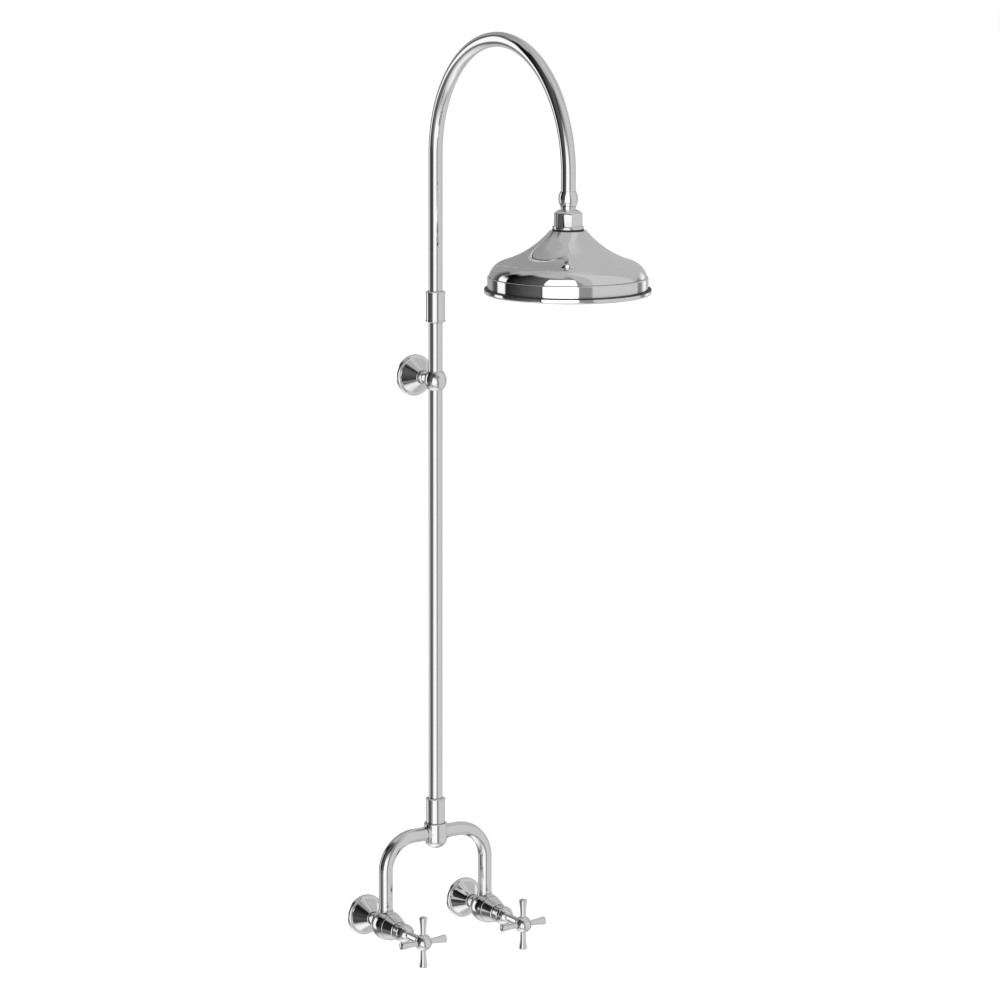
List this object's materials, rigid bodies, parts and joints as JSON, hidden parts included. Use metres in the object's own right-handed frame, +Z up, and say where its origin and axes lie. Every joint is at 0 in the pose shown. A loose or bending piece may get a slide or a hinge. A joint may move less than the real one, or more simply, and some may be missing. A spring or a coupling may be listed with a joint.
{
  "type": "rainfall shower column",
  "caption": "Exposed wall shower column: cross-handle hot and cold taps on a bridge pipe, a bracketed riser, a swivelling gooseneck arm and a wide bell-shaped rain rose on a ball joint.",
  "frame": {"origin": "on the wall surface, midway between the two inlets", "axes": "+X to the right as seen from the front, +Y into the wall, +Z up along the riser"},
  "size_m": [0.2176, 0.4816, 1.1793],
  "materials": {
    "chrome": "polished chrome plate on brass",
    "brass": "machined, uncoated",
    "seal_rubber": "smooth moulded rubber",
    "nozzle_silicone": "soft matt silicone",
    "ceramic": "lapped ceramic",
    "nylon": "moulded nylon",
    "steel": "stainless steel"
  },
  "bodies": {
    "column": {"inlet_tail_left": "chrome", "inlet_tail_right": "chrome", "wall_flange_left": "chrome", "wall_flange_right": "chrome", "tail_seal_left": "seal_rubber", "tail_seal_right": "seal_rubber", "tap_body_left": "chrome", "tap_body_right": "chrome", "base_seal_left": "seal_rubber", "base_seal_right": "seal_rubber", "cartridge_left": "brass", "cartridge_right": "brass", "fixed_disc_left": "ceramic", "fixed_disc_right": "ceramic", "bonnet_left": "chrome", "bonnet_right": "chrome", "bridge_pipe_left": "chrome", "bridge_pipe_right": "chrome", "pipe_seals": "seal_rubber", "centre_tee": "chrome", "riser_socket": "chrome", "riser_seal": "seal_rubber", "riser": "chrome", "set_screws": "steel", "bracket_bolt": "steel", "bracket_stem": "chrome", "bracket_flange": "chrome", "bracket_clamp": "chrome", "coupling": "chrome", "coupling_seals": "seal_rubber"},
    "left_handle": {"handle_left": "chrome", "handle_screw_left": "steel", "handle_button_left": "chrome", "spindle_left": "brass", "spindle_seals_left": "seal_rubber", "turning_disc_left": "ceramic"},
    "right_handle": {"handle_right": "chrome", "handle_screw_right": "steel", "handle_button_right": "chrome", "spindle_right": "brass", "spindle_seals_right": "seal_rubber", "turning_disc_right": "ceramic"},
    "arm": {"gooseneck": "chrome", "arm_end": "chrome", "filter_washer": "seal_rubber", "flow_restrictor": "nylon", "ball_stem": "chrome"},
    "cup": {"ball_cup": "nylon"},
    "seal": {"ball_seal": "seal_rubber"},
    "rose": {"swivel_nut": "chrome", "rose_inlet": "brass", "rose_bell": "chrome", "rose_band": "chrome", "rose_gasket": "seal_rubber", "rose_plate": "chrome", "rose_nozzles": "nozzle_silicone", "rose_screws": "steel"}
  },
  "joints": [
    {"name": "left_tap_turn", "type": "hinge", "parent": "column", "child": "left_handle", "pos_m": [-0.075, -0.1444, 0], "axis": [0, -1, 0], "range_deg": [0, 90]},
    {"name": "right_tap_turn", "type": "hinge", "parent": "column", "child": "right_handle", "pos_m": [0.075, -0.1444, 0], "axis": [0, -1, 0], "range_deg": [0, 90]},
    {"name": "arm_swivel", "type": "hinge", "parent": "column", "child": "arm", "pos_m": [0, -0.052, 0.7886], "axis": [0, 0, 1], "range_deg": [-75, 75]},
    {"name": "rose_tilt_front", "type": "hinge", "parent": "arm", "child": "cup", "pos_m": [0, -0.352, 0.936], "axis": [1, 0, 0], "range_deg": [-10, 10]},
    {"name": "rose_tilt_side", "type": "hinge", "parent": "cup", "child": "seal", "pos_m": [0, -0.352, 0.936], "axis": [0, 1, 0], "range_deg": [-10, 10]},
    {"name": "rose_spin", "type": "hinge", "parent": "seal", "child": "rose", "pos_m": [0, -0.352, 0.936], "axis": [0, 0, 1], "continuous": true}
  ]
}
